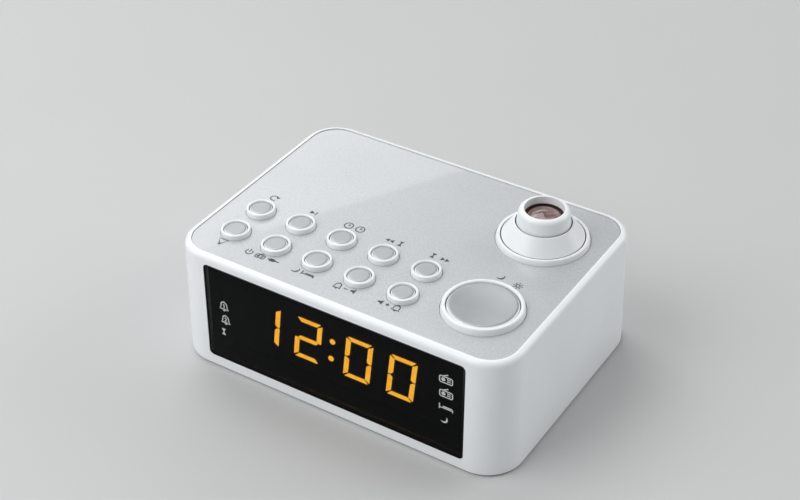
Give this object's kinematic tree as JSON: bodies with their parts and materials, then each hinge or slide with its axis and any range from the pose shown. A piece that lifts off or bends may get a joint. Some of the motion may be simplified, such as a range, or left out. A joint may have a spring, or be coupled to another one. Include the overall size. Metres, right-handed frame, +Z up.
{
  "type": "projection clock radio",
  "caption": "Table clock radio with a smoked display window, round keys and a snooze key on top, and a swivelling ceiling projector with a focusing barrel.",
  "frame": {"origin": "on the table plane, under the middle of the case's width and depth", "axes": "+X to the right of someone who faces the digits (longest side), +Y from the display to the rear wall, +Z up"},
  "size_m": [0.16, 0.116, 0.0708],
  "materials": {
    "case_white": "white moulded ABS, semi-gloss",
    "panel_silver": "silver painted plastic sheet, satin",
    "key_silver": "silver painted plastic, satin",
    "smoked_window": "dark smoked acrylic, polished",
    "lit_amber": "amber LED bars, lit",
    "black_plastic": "black moulded plastic",
    "steel": "zinc plated steel",
    "core_iron": "laminated iron",
    "winding": "winding in yellow tape",
    "circuit_board": "green printed circuit board",
    "capacitor_sleeve": "shrunk sleeve",
    "ferrite": "sintered ferrite",
    "copper_wire": "lacquered copper wire",
    "clear_lens": "polished acrylic lens",
    "red_diode": "red LED on its board",
    "cone_paper": "paper cone",
    "foot_rubber": "moulded rubber"
  },
  "bodies": {
    "case": {"housing": "case_white", "base_cover": "case_white", "top_panel": "panel_silver", "display_window": "smoked_window", "key_board": "circuit_board", "switch_bodies": "steel", "turret_retainer": "black_plastic", "display_board": "circuit_board", "digit_block": "black_plastic", "lit_bars": "lit_amber", "main_board": "circuit_board", "chips": "black_plastic", "capacitors": "capacitor_sleeve", "aux_socket": "black_plastic", "cord_gland": "case_white", "ferrite_rod": "ferrite", "aerial_coil": "copper_wire", "speaker_frame": "steel", "speaker_gasket": "foot_rubber", "speaker_magnet": "core_iron", "transformer_core": "core_iron", "transformer_winding": "winding", "transformer_strap": "steel", "battery_springs": "steel", "battery_plates": "steel", "rubber_feet": "foot_rubber", "case_screws": "steel", "board_screws": "steel"},
    "key_projection_body": {"key_projection": "key_silver", "plunger_projection": "black_plastic"},
    "key_power_body": {"key_power": "key_silver", "plunger_power": "black_plastic"},
    "key_sleep_body": {"key_sleep": "key_silver", "plunger_sleep": "black_plastic"},
    "key_alarm_body": {"key_alarm": "key_silver", "plunger_alarm": "black_plastic"},
    "key_volume_body": {"key_volume": "key_silver", "plunger_volume": "black_plastic"},
    "key_rotate_body": {"key_rotate": "key_silver", "plunger_rotate": "black_plastic"},
    "key_next_body": {"key_next": "key_silver", "plunger_next": "black_plastic"},
    "key_clock_body": {"key_clock": "key_silver", "plunger_clock": "black_plastic"},
    "key_hour_body": {"key_hour": "key_silver", "plunger_hour": "black_plastic"},
    "key_minute_body": {"key_minute": "key_silver", "plunger_minute": "black_plastic"},
    "snooze_body": {"snooze_key": "key_silver", "plunger_snooze": "black_plastic"},
    "turret": {"projector_turret": "case_white", "lamp_house": "black_plastic", "lcd_shutter": "black_plastic", "condenser_lens": "clear_lens", "projector_led": "red_diode"},
    "focus": {"focus_ring": "case_white"},
    "lens": {"lens_tube": "black_plastic", "projector_lens": "clear_lens"},
    "cone": {"speaker_cone": "cone_paper"},
    "door": {"battery_door": "case_white"}
  },
  "joints": [
    {"name": "key_projection_press", "type": "slide", "parent": "case", "child": "key_projection_body", "axis": [0, 0, -1], "range_m": [0, 0.0008], "stiffness_N_per_m": 1600, "springref_m": -0.0006},
    {"name": "key_power_press", "type": "slide", "parent": "case", "child": "key_power_body", "axis": [0, 0, -1], "range_m": [0, 0.0008], "stiffness_N_per_m": 1600, "springref_m": -0.0006},
    {"name": "key_sleep_press", "type": "slide", "parent": "case", "child": "key_sleep_body", "axis": [0, 0, -1], "range_m": [0, 0.0008], "stiffness_N_per_m": 1600, "springref_m": -0.0006},
    {"name": "key_alarm_press", "type": "slide", "parent": "case", "child": "key_alarm_body", "axis": [0, 0, -1], "range_m": [0, 0.0008], "stiffness_N_per_m": 1600, "springref_m": -0.0006},
    {"name": "key_volume_press", "type": "slide", "parent": "case", "child": "key_volume_body", "axis": [0, 0, -1], "range_m": [0, 0.0008], "stiffness_N_per_m": 1600, "springref_m": -0.0006},
    {"name": "key_rotate_press", "type": "slide", "parent": "case", "child": "key_rotate_body", "axis": [0, 0, -1], "range_m": [0, 0.0008], "stiffness_N_per_m": 1600, "springref_m": -0.0006},
    {"name": "key_next_press", "type": "slide", "parent": "case", "child": "key_next_body", "axis": [0, 0, -1], "range_m": [0, 0.0008], "stiffness_N_per_m": 1600, "springref_m": -0.0006},
    {"name": "key_clock_press", "type": "slide", "parent": "case", "child": "key_clock_body", "axis": [0, 0, -1], "range_m": [0, 0.0008], "stiffness_N_per_m": 1600, "springref_m": -0.0006},
    {"name": "key_hour_press", "type": "slide", "parent": "case", "child": "key_hour_body", "axis": [0, 0, -1], "range_m": [0, 0.0008], "stiffness_N_per_m": 1600, "springref_m": -0.0006},
    {"name": "key_minute_press", "type": "slide", "parent": "case", "child": "key_minute_body", "axis": [0, 0, -1], "range_m": [0, 0.0008], "stiffness_N_per_m": 1600, "springref_m": -0.0006},
    {"name": "snooze_press", "type": "slide", "parent": "case", "child": "snooze_body", "axis": [0, 0, -1], "range_m": [0, 0.001], "stiffness_N_per_m": 1800, "springref_m": -0.0006},
    {"name": "turret_turn", "type": "hinge", "parent": "case", "child": "turret", "pos_m": [0.0496, 0.0266, 0.0558], "axis": [0, 0, 1], "range_deg": [-90, 90]},
    {"name": "focus_turn", "type": "hinge", "parent": "turret", "child": "focus", "pos_m": [0.0496, 0.0266, 0.0688], "axis": [0, 0, 1], "range_deg": [-120, 120]},
    {"name": "lens_focus", "type": "slide", "parent": "turret", "child": "lens", "axis": [0, 0, 1], "range_m": [-0.0016, 0.0016]},
    {"name": "cone_stroke", "type": "slide", "parent": "case", "child": "cone", "axis": [0, 0, 1], "range_m": [-0.0004, 0.0004], "stiffness_N_per_m": 1500},
    {"name": "door_pull", "type": "slide", "parent": "case", "child": "door", "axis": [0, 0, -1], "range_m": [0, 0.014]}
  ],
  "couplings": [
    {"joint": "lens_focus", "follows": "focus_turn", "m_per_rad": 0.0007162}
  ]
}
